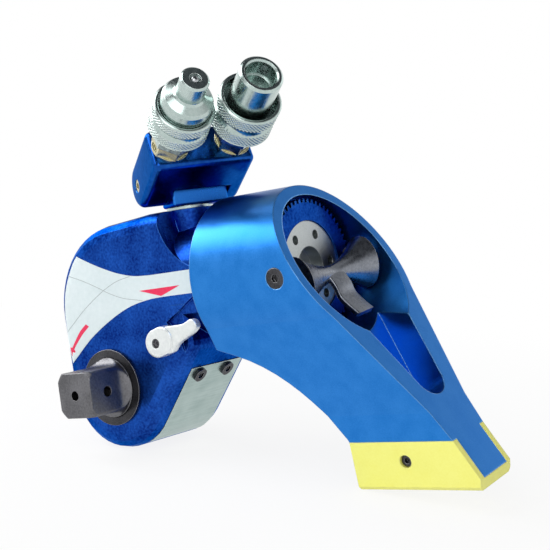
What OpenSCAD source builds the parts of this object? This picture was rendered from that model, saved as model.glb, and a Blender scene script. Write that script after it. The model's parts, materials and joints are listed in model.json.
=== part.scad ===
// Hydraulic torque wrench with a square drive, a splined reaction arm and a two-way hose swivel.
// Modelled level: +X along the cylinder to the arm, -Y out of the square drive, +Z up.
// The origin is where the drive axis meets the front face of the housing.
// stand_tilt then sets the whole tool on the round case bottom and the heel of the arm's foot.

/* [Housing] */
// thickness of the housing between its two flat faces
body_w = 60; // [56:1:66]
// height of the cylinder axis above the drive axis
axis_rise = 54; // [53:0.5:57]
// radius of the round bottom of the drive case
case_r = 36.5; // [36:0.5:39]
// radius of the round back of the housing
back_r = 49; // [47:1:50]
// rounding of the edges of the flat faces
edge_r = 9; // [6:0.5:11]
// rounding of the edge of the rear face
rear_edge_r = 5; // [3:0.5:8]
// thickness of the front and rear walls
wall_t = 9; // [8:0.5:10]
// slope of the case side that carries the cover plate
case_slope = 50; // [46:1:54]

/* [Square drive] */
// square drive across its flats
square_af = 25.4; // [19:0.1:25.4]
// length of the square in front of the housing
square_len = 30; // [26:1:34]
// outer radius of the ratchet teeth
ratchet_r = 25; // [24.5:0.1:25.2]
// number of ratchet teeth
ratchet_teeth = 24; // [18:1:30]

/* [Cylinder] */
// radius of the cylinder bore
bore_r = 20; // [18:0.5:21]
// radius of the piston rod
rod_r = 9; // [8:0.25:10]
// swing of the lever each side of upright
lever_half_swing = 12; // [9:0.5:12]
// number of splines between cylinder and arm
spline_count = 60; // [36:12:72]
// root radius of the splines on the cylinder
spline_root_r = 34.4; // [33.5:0.1:35]

/* [Reaction arm] */
// outer radius of the arm's sleeve
sleeve_r = 44; // [43:0.5:46]
// where the sleeve starts along the cylinder axis
sleeve_x0 = 81.7; // [81:0.5:84]
// slant of the open front face from upright
face_slant = 29.7; // [26:0.5:32]
// where the slanted face crosses the cylinder axis
face_x = 152; // [148:1:156]
// drop of the reaction pad below the cylinder axis
foot_drop = 112; // [104:1:120]
// thickness of the foot without its guard
foot_w = 25; // [22:0.5:28]
// wall thickness of the foot guard
guard_t = 4; // [3:0.5:5]

/* [Hose swivel] */
// place of the swivel post along the cylinder axis
post_x = 50.3; // [48:0.5:52]
// turn of the swivel about its post
swivel_turn = -30; // [-60:0.5:60]
// lean of the couplers from upright
swivel_tilt = 63.5; // [-80:0.5:80]
// length of the swivel block
block_len = 58; // [56:1:62]
// width of the swivel block
block_w = 25; // [24:0.5:27]
// distance between the two couplers
coupler_pitch = 36; // [35:0.2:38]
// length of a coupler above the swivel block
coupler_len = 61; // [56:1:68]

/* [Pose] */
// lean of the whole tool as it stands on a bench
stand_tilt = 10.8; // [0:0.1:14]

/* [Hidden] */
$fn = 64;

blue = [0.08, 0.29, 0.66];
steel = [0.62, 0.63, 0.64];
dark_steel = [0.24, 0.24, 0.25];
zinc = [0.74, 0.77, 0.75];
yellow = [0.95, 0.93, 0.33];
seal_black = [0.06, 0.06, 0.06];
bronze = [0.66, 0.50, 0.28];
light_alloy = [0.78, 0.80, 0.80];
passivate = [0.72, 0.68, 0.48];

// gap of a running shaft, gap beside a moving face, gap of a part laid in a recess
run_gap = 0.05;
side_gap = 0.4;
lay_gap = 0.3;

mid_y = body_w / 2;
arm_index = 360 / spline_count;

// face of the case side: outward normal and upward direction in the X-Z plane
slope_n = [cos(case_slope - 90), sin(case_slope - 90)];
slope_t = [cos(case_slope), sin(case_slope)];
case_side_r = 10;
case_side = slope_n * (case_r - case_side_r) + slope_t * 51.5;
back_c = [11.5, axis_rise - 10.2];
housing_top = axis_rise + 41;
crown_r = 14;
crown_c = [40, housing_top - crown_r];
scoop_c = [85, housing_top];
scoop_r = 35;
neck_r = mid_y + 2;
shoulder_x1 = sleeve_x0 - 0.7;

// drive train across the housing
bush_r = 21;
bush_flange_r = 22;
bush_proud = 1.6;
journal_r = 17.5;
plate_t = 8;
plate_y = wall_t + side_gap;
wheel_y0 = plate_y + plate_t + side_gap;
wheel_y1 = body_w - wheel_y0;
tooth_depth = 2.7;
shank_r = 13;
shank_teeth = 12;
collar_r = square_af / 2 * 1.36;
pin_r = 6;
boss_r = 10.5;
lever_rest = lever_half_swing;
pin_x = axis_rise * sin(lever_rest);
chamber_top = axis_rise + 15;
chamber_r = case_r - 5;
gland_x0 = 48;
cover_y0 = 10;
cover_y1 = body_w - 5;
cover_top = 39;
cover_screw_up = 34;
cover_screw_y = [19, body_w - 17];

// pawls: hinge radius and place about the drive axis
pawl_hinge_r = 36;
pawl_hinge_a = 104;
pawl_nose_a = 150;
pawl_lift = 0.35;
hold_c = [46, 23.5];
hold_bend = [33.4, 4];
hold_boss_r = 9;
hold_bend_r = 4.6;
hold_nose_a = -34;
hold_shaft_r = 5;
hold_room = 1;

// cylinder
bore_x0 = 62;
nose_x0 = sleeve_x0 + 2.3;
nose_x1 = 130.2;
cap_r = bore_r + 4.8;
cap_x0 = nose_x1 - 12;
cap_x1 = nose_x1 - 1;
cap_hole_r = 11;
spanner_ring_r = 18.5;
piston_t = 16;
piston_x1 = cap_x0 - 2;
spline_h = 2;
oil_r = 1.8;
oil_low = bore_r + 4.2;
oil_high = bore_r + 9;

// reaction arm, in its own frame: x along the axis, then across, then up the arm
face_m = tan(face_slant);
mouth_r = sleeve_r - 5.5;
mouth_x0 = nose_x1 - 12;
fold_drop = 77;
fold_half = 18.6;
guard_top = foot_drop - 20;
foot_half = foot_w / 2;
heel_x = 143.6;
trigger_x = nose_x1 + 7.1;
trigger_up = 1.7;
trigger_pin_r = 3.5;
pin_head_r = 5.4;
pin_head_t = 2.9;
hub_c = [trigger_x + 3.7, trigger_up - 6.2];
hub_r = 11;
hub_waist_r = 3.2;
hub_half = sleeve_r - 13;
hub_flare = hub_half - 5;
guard_pin_x = 175;
guard_pin_drop = foot_drop - 9.5;

// hose swivel
tilt_z = axis_rise + 57.5;
post_r = 9;
post_z0 = axis_rise + 20.5;
lug_z0 = housing_top + 2.2;
lug_half = 16.5;
lug_shift = 4;
lug_w = 21;
slot_half = lug_half + side_gap;
bridge_z = lug_w / 2 + 1;
block_top = 36.8;
pivot_r = 5;
half_pitch = coupler_pitch / 2;
hex_h = 10;
nose_r = 7.6;
mouth_bore_r = 8.3;
seal_z0 = axis_rise + (oil_low + oil_high) / 2 - 1.2;
seal_z1 = post_z0 + 13.5;
base_z = block_top + hex_h;
end_z = block_top + coupler_len;

module standing() {
  rotate([0, -stand_tilt, 0]) children();
}

// a flat X-Z outline carried through the housing from y0 to y1
module along_y(y0, y1) {
  translate([0, y1, 0]) rotate([90, 0, 0]) linear_extrude(y1 - y0) children();
}

// a flat Y-Z outline carried along the cylinder from x0 to x1
module along_x(x0, x1) {
  translate([x0, 0, 0]) rotate([90, 0, 90]) linear_extrude(x1 - x0) children();
}

module cyl_y(c, r, y0, y1) {
  translate([c[0], y0, c[1]]) rotate([-90, 0, 0]) cylinder(r = r, h = y1 - y0);
}

module cyl_x(r, x0, x1) {
  translate([x0, mid_y, axis_rise]) rotate([0, 90, 0]) cylinder(r = r, h = x1 - x0);
}

module ring_x(ro, ri, x0, x1) {
  difference() {
    cyl_x(ro, x0, x1);
    cyl_x(ri, x0 - 1, x1 + 1);
  }
}

module strap(a, ra, b, rb) {
  hull() {
    translate(a) circle(ra, $fn = 40);
    translate(b) circle(rb, $fn = 32);
  }
}

// straight-sided spline outline
module spline_outline(count, root, tip, fill) {
  step = 360 / count;
  polygon([for (i = [0 : count - 1], k = [0 : 3])
    let (a = i * step + step * [-fill / 2, -fill / 4, fill / 4, fill / 2][k])
    let (r = (k == 1 || k == 2) ? tip : root)
    [r * cos(a), r * sin(a)]]);
}

// close-wound wire spring standing on z = 0
module coil(mid_r, wire_r, turns) {
  for (i = [0 : turns - 1]) {
    translate([0, 0, wire_r + i * wire_r * 1.7])
      rotate_extrude() translate([mid_r, 0]) circle(wire_r, $fn = 20);
  }
}

module in_arm() {
  translate([0, mid_y, axis_rise]) rotate([arm_index, 0, 0]) children();
}

module in_lug() {
  translate([post_x, mid_y, tilt_z]) rotate([0, 0, swivel_turn]) children();
}

module in_block() {
  in_lug() rotate([0, swivel_tilt, 0]) children();
}

module in_lever() {
  rotate([0, lever_rest, 0]) children();
}

// disc through the housing with both rims rounded
module rounded_disc(c, r, fn) {
  for (a = [0 : 30 : 90]) {
    y0 = edge_r * (1 - sin(a));
    y1 = body_w - rear_edge_r * (1 - sin(a));
    translate([c[0], y0, c[1]]) rotate([-90, 0, 0])
      cylinder(r1 = r - edge_r * (1 - cos(a)), r2 = r - rear_edge_r * (1 - cos(a)), h = y1 - y0, $fn = fn);
  }
}

module housing_shell() {
  hull() {
    rounded_disc([0, 0], case_r, 44);
    rounded_disc(back_c, back_r, 52);
    rounded_disc(crown_c, crown_r, 24);
    rounded_disc(case_side, case_side_r, 20);
  }
}

// room for the ratchet, the lever and both pawls
module chamber_outline() {
  circle(chamber_r);
  polygon([[-chamber_r + 1, 0], [-33.2, 12], [-33.2, axis_rise - 14], [-26, chamber_top],
    [gland_x0, chamber_top], [gland_x0, 38], [57, 32], [57, 19], slope_n * chamber_r + slope_t * 44,
    slope_n * chamber_r * 0.99, [0, -10]]);
  strap(hold_c, hold_boss_r + hold_room, hold_bend, hold_bend_r + hold_room);
}

// band of the case side that the cover plate lies on
module cover_band(inner, outer, margin) {
  difference() {
    intersection() {
      strap([0, 0], case_r + outer, case_side, case_side_r + outer);
      polygon([slope_n * 10, slope_n * 10 + slope_t * (cover_top + margin),
        slope_n * 60 + slope_t * (cover_top + margin), [60, -60],
        60 * [cos(-72 - margin), sin(-72 - margin)]]);
    }
    strap([0, 0], case_r - inner, case_side, case_side_r - inner);
  }
}

module housing() {
  color(blue) standing() difference() {
    union() {
      difference() {
        union() {
          housing_shell();
          translate([crown_c[0], 0, axis_rise - 11]) cube([shoulder_x1 - crown_c[0], body_w, 35]);
        }
        cyl_y(scoop_c, scoop_r, -1, body_w + 1);
      }
      intersection() {
        cyl_x(neck_r, 30, nose_x0 + 1);
        translate([0, 0.5, 0]) cube([nose_x0 + 5, body_w - 1, 200]);
      }
      translate([0, mid_y, axis_rise]) along_x(nose_x0, nose_x1)
        spline_outline(spline_count, spline_root_r, spline_root_r + spline_h, 0.52);
      translate([post_x, mid_y, axis_rise]) cylinder(r = 14, h = housing_top + 0.2 - axis_rise);
    }
    // ratchet chamber and its opening under the cover plate
    along_y(wall_t, body_w - wall_t) chamber_outline();
    along_y(14, body_w - 14) polygon([slope_n * 20 - slope_t * 9, slope_n * 20 + slope_t * 28,
      slope_n * 40 + slope_t * 28, slope_n * 40 - slope_t * 9]);
    along_y(cover_y0, cover_y1) cover_band(1.6, 3, 0.4);
    for (y = cover_screw_y) cover_hole(y, 2.5, 20, 40);
    // drive bushes and the holding pawl's shaft
    cyl_y([0, 0], bush_r, -1, wall_t + 1);
    cyl_y([0, 0], bush_r, body_w - wall_t - 1, body_w + 1);
    cyl_y(hold_c, hold_shaft_r + run_gap, -1, wall_t + 1);
    cyl_y(hold_c, hold_shaft_r + run_gap, body_w - wall_t - 1, body_w - 4);
    // shallow step beside the release lever
    along_y(-1, 2.5) polygon([[hold_c[0] + 2, hold_c[1] + 10.5], [hold_c[0] + 25, hold_c[1] + 24],
      [sleeve_x0 + 20, hold_c[1] + 24], [sleeve_x0 + 20, -10], [hold_c[0] + 12, hold_c[1] - 12],
      [hold_c[0] + 10, hold_c[1]]]);
    // cylinder, gland and cap seat
    cyl_x(bore_r, bore_x0, cap_x0 + 1);
    cyl_x(cap_r, cap_x0, nose_x1 + 1);
    cyl_x(rod_r + 4, gland_x0 - 2, bore_x0 + 1);
    // swivel post socket and oil drillings
    translate([post_x, mid_y, post_z0]) cylinder(r = post_r + run_gap, h = 60);
    translate([0, 0, oil_high]) cyl_x(oil_r, post_x + 5, cap_x0 - 2);
    translate([0, 0, oil_low]) cyl_x(oil_r, post_x + 5, bore_x0 + 8);
    translate([cap_x0 - 4, mid_y, axis_rise + bore_r - 3]) cylinder(r = oil_r, h = oil_high - bore_r + 3);
    translate([bore_x0 + 6, mid_y, axis_rise + bore_r - 3]) cylinder(r = oil_r, h = oil_low - bore_r + 3);
  }
}

module drive_bush(y0, y1, flange0, flange1) {
  color(dark_steel) standing() difference() {
    union() {
      cyl_y([0, 0], bush_r, y0, y1);
      cyl_y([0, 0], bush_flange_r, flange0, flange1);
    }
    cyl_y([0, 0], journal_r + run_gap, y0 - 5, y1 + 5);
  }
}

module front_bush() {
  drive_bush(0, wall_t, -bush_proud, 0);
}

module rear_bush() {
  drive_bush(body_w - wall_t, body_w, body_w, body_w + bush_proud);
}

// a drilling square to the case side, near the top edge of the cover plate
module cover_hole(y, r, n0, n1) {
  p = slope_t * cover_screw_up;
  translate([p[0], y, p[1]]) rotate([0, 180 - case_slope, 0])
    translate([0, 0, n0]) cylinder(r = r, h = n1 - n0, $fn = 32);
}

module case_cover() {
  color(zinc) standing() difference() {
    along_y(cover_y0 + lay_gap, cover_y1 - lay_gap) cover_band(1.6, 0.4, 0);
    for (y = cover_screw_y) cover_hole(y, 2.8, 20, 60);
  }
}

module cover_screws() {
  color(dark_steel) standing() for (y = cover_screw_y) difference() {
    union() {
      cover_hole(y, 2.5, chamber_r + 0.4, case_r + 0.6);
      cover_hole(y, 4.3, case_r + 0.4, case_r + 2.2);
    }
    cover_hex(y);
  }
}

module cover_hex(y) {
  p = slope_t * cover_screw_up;
  translate([p[0], y, p[1]]) rotate([0, 180 - case_slope, 0])
    translate([0, 0, case_r + 0.8]) cylinder(r = 2.3, h = 5, $fn = 6);
}

module end_cap() {
  color(light_alloy) standing() difference() {
    cyl_x(cap_r, cap_x0, cap_x1);
    cyl_x(cap_hole_r, cap_x0 + 3, cap_x1 + 1);
    ring_x(cap_r + 1, cap_r - 2.4, cap_x0 + 1.5, cap_x0 + 4.5);
    for (a = [0 : 60 : 300]) {
      translate([cap_x1 - 6, mid_y, axis_rise]) rotate([a + arm_index + 30, 0, 0])
        translate([0, 0, spanner_ring_r]) rotate([0, 90, 0]) cylinder(r = 2.5, h = 10, $fn = 32);
    }
  }
}

module cap_seal() {
  color(seal_black) standing() ring_x(cap_r, cap_r - 2.4, cap_x0 + 1.5, cap_x0 + 4.5);
}

module rod_bush() {
  color(bronze) standing() ring_x(rod_r + 4, rod_r + run_gap, gland_x0, bore_x0 - 5);
}

module rod_seal() {
  color(seal_black) standing() ring_x(rod_r + 4, rod_r + run_gap, bore_x0 - 5, bore_x0 - 0.5);
}

module ratchet_wheel() {
  step = 360 / ratchet_teeth;
  color(dark_steel) standing() difference() {
    union() {
      along_y(wheel_y0, wheel_y1) polygon([for (i = [0 : ratchet_teeth - 1], k = [0 : 1])
        let (a = i * step + (k == 0 ? 0 : 1.2))
        let (r = k == 0 ? ratchet_r - tooth_depth : ratchet_r)
        [r * cos(a), r * sin(a)]]);
      cyl_y([0, 0], journal_r, 2.4, body_w - 0.4);
    }
    along_y(-5, body_w + 5) spline_outline(shank_teeth, shank_r + 0.15, shank_r + 1.75, 0.54);
  }
}

module square_drive() {
  h = square_af / 2;
  color(dark_steel) standing() difference() {
    union() {
      intersection() {
        along_y(-square_len, -1.5) square(square_af, center = true);
        cyl_y([0, 0], h * 1.335, -square_len - 1, 0);
        translate([0, -square_len, 0]) rotate([-90, 0, 0])
          cylinder(r1 = h * 1.2, r2 = h * 1.2 + square_len, h = square_len, $fn = 96);
      }
      cyl_y([0, 0], min(collar_r, journal_r - 0.2), -2, 2);
      along_y(2, body_w - 2) spline_outline(shank_teeth, shank_r, shank_r + 1.6, 0.5);
    }
    cyl_y([0, 0], 2.8, -square_len - 1, -square_len + 14);
    translate([0, -square_len / 2 - 2, 0]) rotate([0, 90, 0]) cylinder(r = 3, h = 60, center = true);
    cyl_y([0, 0], 5.3, body_w - 12, body_w);
  }
}

// end plate behind the rear bush; its hub holds the push button and spring
module drive_retainer() {
  color(dark_steel) standing() difference() {
    union() {
      cyl_y([0, 0], 16.5, body_w - 0.4, body_w + 5);
      cyl_y([0, 0], 5.3, body_w - 10, body_w);
    }
    cyl_y([0, 0], 4.1, body_w - 8, body_w + 2.1);
    cyl_y([0, 0], 3.2 + run_gap, body_w + 2, body_w + 6);
  }
}

module retainer_spring() {
  color(steel) standing() translate([0, body_w - 8, 0]) rotate([-90, 0, 0]) coil(3, 0.6, 5);
}

module retainer_button() {
  color(steel) standing() union() {
    cyl_y([0, 0], 3.9, body_w - 0.6, body_w + 1.7);
    cyl_y([0, 0], 3.2, body_w + 1.6, body_w + 8);
  }
}

module piston() {
  color(steel) standing() difference() {
    cyl_x(bore_r - run_gap, piston_x1 - piston_t, piston_x1);
    ring_x(bore_r + 1, bore_r - 3, piston_x1 - 10, piston_x1 - 6);
    cyl_x(6, piston_x1 - piston_t - 1, piston_x1 - 4);
  }
}

module piston_seal() {
  color(seal_black) standing() ring_x(bore_r - 0.02, bore_r - 3, piston_x1 - 10, piston_x1 - 6);
}

module piston_rod() {
  color(steel) standing() union() {
    cyl_x(rod_r, pin_x + 13, piston_x1 - piston_t);
    cyl_x(6, piston_x1 - piston_t - 1, piston_x1 - 4);
    cyl_x(5, pin_x + pin_r + 2, pin_x + 14);
  }
}

// fork on the rod that straddles the lever pin from above
module rod_head() {
  w = wheel_y1 - wheel_y0;
  color(steel) standing() difference() {
    translate([pin_x - 13, wheel_y0, axis_rise - 9]) cube([26, w, 21]);
    translate([pin_x - pin_r - 0.3, 0, axis_rise - 15]) cube([2 * pin_r + 0.6, body_w, 15 + pin_r + 0.6]);
    cyl_x(5, pin_x + pin_r + 2, pin_x + 14);
  }
}

module lever_plate(y0) {
  hinge = pawl_hinge_r * [cos(pawl_hinge_a), sin(pawl_hinge_a)];
  color(dark_steel) standing() in_lever() difference() {
    along_y(y0, y0 + plate_t) strap([0, 0], 27, [0, axis_rise], boss_r);
    cyl_y([0, 0], journal_r + run_gap, y0 - 1, y0 + plate_t + 1);
    cyl_y([0, axis_rise], pin_r, y0 - 1, y0 + plate_t + 1);
    cyl_y(hinge, 4, y0 - 1, y0 + plate_t + 1);
  }
}

module lever_plate_front() {
  lever_plate(plate_y);
}

module lever_plate_rear() {
  lever_plate(body_w - plate_y - plate_t);
}

module lever_pin() {
  color(steel) standing() in_lever() cyl_y([0, axis_rise], pin_r, plate_y, body_w - plate_y);
}

module pawl_pin() {
  hinge = pawl_hinge_r * [cos(pawl_hinge_a), sin(pawl_hinge_a)];
  color(steel) standing() in_lever() cyl_y(hinge, 4, plate_y, body_w - plate_y);
}

// pawl that pushes the ratchet when the piston comes out
module drive_pawl() {
  hinge = pawl_hinge_r * [cos(pawl_hinge_a), sin(pawl_hinge_a)];
  nose = (ratchet_r + 3.4) * [cos(pawl_nose_a - 4), sin(pawl_nose_a - 4)];
  tip = (ratchet_r + pawl_lift) * [cos(pawl_nose_a), sin(pawl_nose_a)];
  color(dark_steel) standing() in_lever() difference() {
    along_y(wheel_y0 + 0.2, wheel_y1 - 0.2) difference() {
      union() {
        strap(hinge, 7, nose, 2.6);
        polygon([tip, nose + [2, 2.5], nose + [-2.4, 1], nose + [-1.6, -2]]);
      }
      circle(ratchet_r + pawl_lift);
    }
    cyl_y(hinge, 4 + run_gap, 0, body_w);
  }
}

// pawl that holds the ratchet while the piston goes back
module holding_pawl() {
  nose = (ratchet_r + 2.9) * [cos(hold_nose_a + 5), sin(hold_nose_a + 5)];
  color(dark_steel) standing() difference() {
    along_y(wheel_y0 + 0.5, wheel_y1 - 0.5) difference() {
      union() {
        strap(hold_c, hold_boss_r, hold_bend, hold_bend_r);
        strap(hold_bend, hold_bend_r, nose, 2.3);
      }
      circle(ratchet_r + pawl_lift);
    }
    cyl_y(hold_c, hold_shaft_r, 0, body_w);
  }
}

module pawl_shaft() {
  color(steel) standing() union() {
    cyl_y(hold_c, hold_shaft_r, 0.5, body_w - 4.5);
    cyl_y(hold_c, 4, -6, 1);
  }
}

// bright lever on the front face that lifts the holding pawl
module release_lever() {
  boss_end = hold_c + [4, 1.2];
  tip = hold_c + [26.5, 8.5];
  color([0.92, 0.93, 0.92]) standing() difference() {
    union() {
      along_y(-8, -0.6) strap(hold_c, 7.9, boss_end, 7.9);
      along_y(-7, -2.2) strap(boss_end, 6.4, tip, 3.4);
      along_y(-8, -4) strap(hold_c + [19, 6], 4.2, tip, 3.4);
    }
    cyl_y(hold_c, 4, -6, 1);
    cyl_y(hold_c, 2.6, -9, -5);
  }
}

module lever_screw() {
  color(dark_steel) standing() difference() {
    cyl_y(hold_c, 2.6, -7.6, -6);
    translate([hold_c[0], -7, hold_c[1]]) rotate([90, 0, 0]) cylinder(r = 1.5, h = 3, $fn = 6);
  }
}

// outline of the arm seen along the cylinder: tapering sides, straight foot
module arm_front_outline() {
  polygon([[-0.94 * sleeve_r, -0.30 * sleeve_r], [-fold_half, -fold_drop],
    [-foot_half - guard_t, -guard_top], [-foot_half, -guard_top], [-foot_half, -foot_drop],
    [foot_half, -foot_drop],
    [foot_half, -guard_top], [foot_half + guard_t, -guard_top], [fold_half, -fold_drop],
    [0.94 * sleeve_r, -0.30 * sleeve_r]]);
}

// outline of the arm seen from the side: hollow back, and a front that the slanted face cuts off
module arm_side_outline() {
  back = [[heel_x - 1, 1.5 - guard_top], [heel_x - 12.6, -72], [heel_x - 22.6, -49.5],
    [heel_x - 51.6, -38]];
  polygon(concat(
    [[sleeve_x0, 0], [face_x + 20, 0], [face_x + 20 + face_m * foot_drop, -foot_drop],
      [heel_x, -foot_drop], [heel_x - 0.4, -guard_top]],
    [for (k = [0 : 10]) let (f = k / 10) pow(1 - f, 3) * back[0] + 3 * f * pow(1 - f, 2) * back[1]
      + 3 * f * f * (1 - f) * back[2] + pow(f, 3) * back[3]],
    [[sleeve_x0, -34]]));
}

// space in front of the slanted face
module beyond_face() {
  along_y(-60, 60)
    polygon([[face_x - face_m * 60, 60], [face_x + face_m * 130, -130], [400, -130], [400, 60]]);
}

// cut that opens the slanted face, in the plane of that face
module face_pocket(depth) {
  translate([face_x, 0, 0]) rotate([0, -face_slant, 0])
    along_x(-depth, 40) hull() {
      translate([0, -71]) circle(11.5, $fn = 40);
      translate([0, -26]) circle(22, $fn = 48);
    }
}

module reaction_arm() {
  color(blue) standing() in_arm() difference() {
    union() {
      intersection() {
        along_x(sleeve_x0, face_x + 120) arm_front_outline();
        along_y(-60, 60) arm_side_outline();
      }
      along_x(sleeve_x0, face_x + 40) circle(sleeve_r, $fn = 120);
    }
    beyond_face();
    along_x(nose_x0 - 5, mouth_x0 + 1)
      spline_outline(spline_count, spline_root_r + 0.4, spline_root_r + spline_h + 0.4, 0.62);
    along_x(sleeve_x0 - 1, sleeve_x0 + 1.4) circle(spline_root_r + spline_h + 0.8);
    along_x(mouth_x0, mouth_x0 + 120) circle(mouth_r);
    face_pocket(17);
    for (s = [-1, 1]) {
      translate([trigger_x, 0, trigger_up]) rotate([s * -90, 0, 0]) {
        cylinder(r = trigger_pin_r, h = 60);
        translate([0, 0, sleeve_r - pin_head_t - 0.3]) cylinder(r = pin_head_r, h = 10);
      }
    }
    translate([guard_pin_x, -40, -guard_pin_drop]) rotate([-90, 0, 0]) cylinder(r = 3, h = 80);
  }
}

// U-shaped guard shoe over the foot
module foot_guard() {
  g = 0.1;
  o = foot_half + guard_t;
  drop = foot_drop + guard_t + 2;
  color(yellow) standing() in_arm() difference() {
    intersection() {
      along_x(heel_x - 2, face_x + 120)
        polygon([[-o, -guard_top - g], [-o, 2 - drop], [2 - o, -drop],
          [o - 2, -drop], [o, 2 - drop], [o, -guard_top - g]]);
      along_y(-60, 60)
        polygon([[heel_x - 0.6, -guard_top + 1], [face_x + face_m * (guard_top - 1), -guard_top + 1],
          [face_x + face_m * foot_drop, -foot_drop], [face_x + face_m * foot_drop - 1, -drop],
          [heel_x, -drop]]);
    }
    along_x(heel_x - 10, face_x + 130) polygon([[-foot_half - g, 0], [-foot_half - g, -foot_drop - g],
      [foot_half + g, -foot_drop - g], [foot_half + g, 0]]);
    translate([guard_pin_x, -40, -guard_pin_drop]) rotate([-90, 0, 0]) cylinder(r = 3.4, h = 80);
  }
}

// short socket screws that hold the guard from both sides
module guard_screws() {
  color(dark_steel) standing() in_arm() for (s = [-1, 1]) difference() {
    translate([guard_pin_x, s * 7.5, -guard_pin_drop]) rotate([s * -90, 0, 0])
      cylinder(r = 3, h = foot_half + guard_t - 7.5 - 1.5);
    translate([guard_pin_x, s * (foot_half + guard_t - 4), -guard_pin_drop]) rotate([s * -90, 0, 0])
      cylinder(r = 1.6, h = 4, $fn = 6);
  }
}

// two headed pins, one through each wall of the sleeve
module trigger_pin() {
  color(dark_steel) standing() in_arm() for (s = [-1, 1]) translate([trigger_x, 0, trigger_up])
    rotate([s * -90, 0, 0]) difference() {
      union() {
        translate([0, 0, hub_half - 6.5]) cylinder(r = trigger_pin_r, h = sleeve_r - hub_half + 5);
        translate([0, 0, sleeve_r - pin_head_t - 0.3]) cylinder(r = pin_head_r, h = pin_head_t);
      }
      translate([0, 0, sleeve_r - 2.2]) cylinder(r = 2.2, h = 4, $fn = 6);
    }
}

// curved blade in the X-Z plane of the arm, from the hub to the finger end
module trigger_blade_outline() {
  c = [hub_c + [2, 0.5], hub_c + [9, -5.5], hub_c + [5.5, -14.5], hub_c + [18, -22.8]];
  front = [for (k = [0 : 8]) let (f = k / 8) pow(1 - f, 3) * c[0] + 3 * f * pow(1 - f, 2) * c[1]
    + 3 * f * f * (1 - f) * c[2] + pow(f, 3) * c[3]];
  polygon(concat(front, [for (k = [8 : -1 : 0]) front[k] + [-2.6, -1.8]]));
}

module arm_trigger() {
  color(dark_steel) standing() in_arm() difference() {
    union() {
      // waisted hub, flat towards the cylinder so that it can tip
      intersection() {
        translate([hub_c[0], 0, hub_c[1]]) rotate([-90, 0, 0]) rotate_extrude() polygon(concat(
          [[0, -hub_half], [hub_r, -hub_half]],
          [for (k = [-6 : 6])
            [hub_waist_r + (hub_r - hub_waist_r) * pow(abs(k) / 6, 1.6), hub_flare * k / 6]],
          [[hub_r, hub_half], [0, hub_half]]));
        along_y(-40, 40) polygon([[nose_x1 + 1.8, 40], [nose_x1 + 1.8, trigger_up], [nose_x1 + 5.8, -19],
          [nose_x1 + 40, -19], [nose_x1 + 40, 40]]);
      }
      along_y(-7, 7) trigger_blade_outline();
      // nose that stands in the hole of the end cap
      translate([cap_x1 - 4, -4, hub_c[1] - 2.5]) cube([hub_c[0] - cap_x1 + 4, 8, 4]);
    }
    for (s = [-1, 1]) translate([trigger_x, 0, trigger_up]) rotate([s * -90, 0, 0])
      translate([0, 0, hub_half - 7]) cylinder(r = trigger_pin_r + run_gap, h = 20);
  }
}

module trigger_spring() {
  color(steel) standing() in_arm() translate([trigger_x, hub_half + 0.3, trigger_up]) rotate([-90, 0, 0])
    coil(5, 0.7, 5);
}

module post_solid(r, z0, z1) {
  translate([post_x, mid_y, z0]) cylinder(r = r, h = z1 - z0);
}

module post_groove(z) {
  difference() {
    post_solid(post_r + 1, z, z + 2.4);
    post_solid(post_r - 1.6, z - 1, z + 4);
  }
}

module post_seal(z) {
  color(seal_black) standing() difference() {
    post_solid(post_r, z, z + 2.4);
    post_solid(post_r - 1.6, z - 1, z + 4);
  }
}

module swivel_post() {
  color(steel) standing() difference() {
    post_solid(post_r, post_z0 + 0.4, lug_z0 + 4);
    post_groove(seal_z0);
    post_groove(seal_z1);
    post_solid(2, post_z0 - 1, lug_z0 + 1);
  }
}

module post_seal_upper() {
  post_seal(seal_z1);
}

module post_seal_lower() {
  post_seal(seal_z0);
}

module post_ring() {
  color(zinc) standing() difference() {
    post_solid(13, housing_top + 0.2, lug_z0 - 0.3);
    post_solid(post_r + 0.3, housing_top - 1, lug_z0);
  }
}

// upright lug that turns on the post and carries the tilt shaft
module swivel_lug() {
  color(blue) standing() in_lug() difference() {
    union() {
      translate([0, lug_shift, 0]) rotate([90, 0, 0])
        cylinder(r = lug_w / 2, h = 2 * lug_half, center = true);
      translate([-lug_w / 2, lug_shift - lug_half, lug_z0 - tilt_z])
        cube([lug_w, 2 * lug_half, tilt_z - lug_z0]);
    }
    rotate([90, 0, 0]) cylinder(r = pivot_r + run_gap, h = 80, center = true);
    translate([0, 0, lug_z0 - tilt_z - 1]) cylinder(r = post_r, h = 5);
  }
}

module block_section() {
  circle(block_w / 2);
  translate([-block_w / 2, 0]) square([block_w, block_top - 2]);
  translate([2 - block_w / 2, 0]) square([block_w - 4, block_top]);
}

module swivel_block() {
  color(blue) standing() in_block() difference() {
    along_y(-block_len / 2, block_len / 2) block_section();
    translate([-40, lug_shift - slot_half, -40]) cube([80, 2 * slot_half, 40 + bridge_z]);
    rotate([90, 0, 0]) cylinder(r = pivot_r, h = block_len - 6, center = true);
    rotate([90, 0, 0]) cylinder(r = 3.8, h = block_len + 4, center = true);
    for (s = [-1, 1]) {
      translate([0, s * half_pitch, bridge_z + 6]) cylinder(r = 6.5, h = 60);
      translate([0, (lug_shift + s * (slot_half + block_len / 2)) / 2, 0])
        cylinder(r = 1.8, h = bridge_z + 8);
    }
  }
}

module pivot_shaft() {
  color(steel) standing() in_block() rotate([90, 0, 0])
    cylinder(r = pivot_r, h = block_len - 6, center = true);
}

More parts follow.
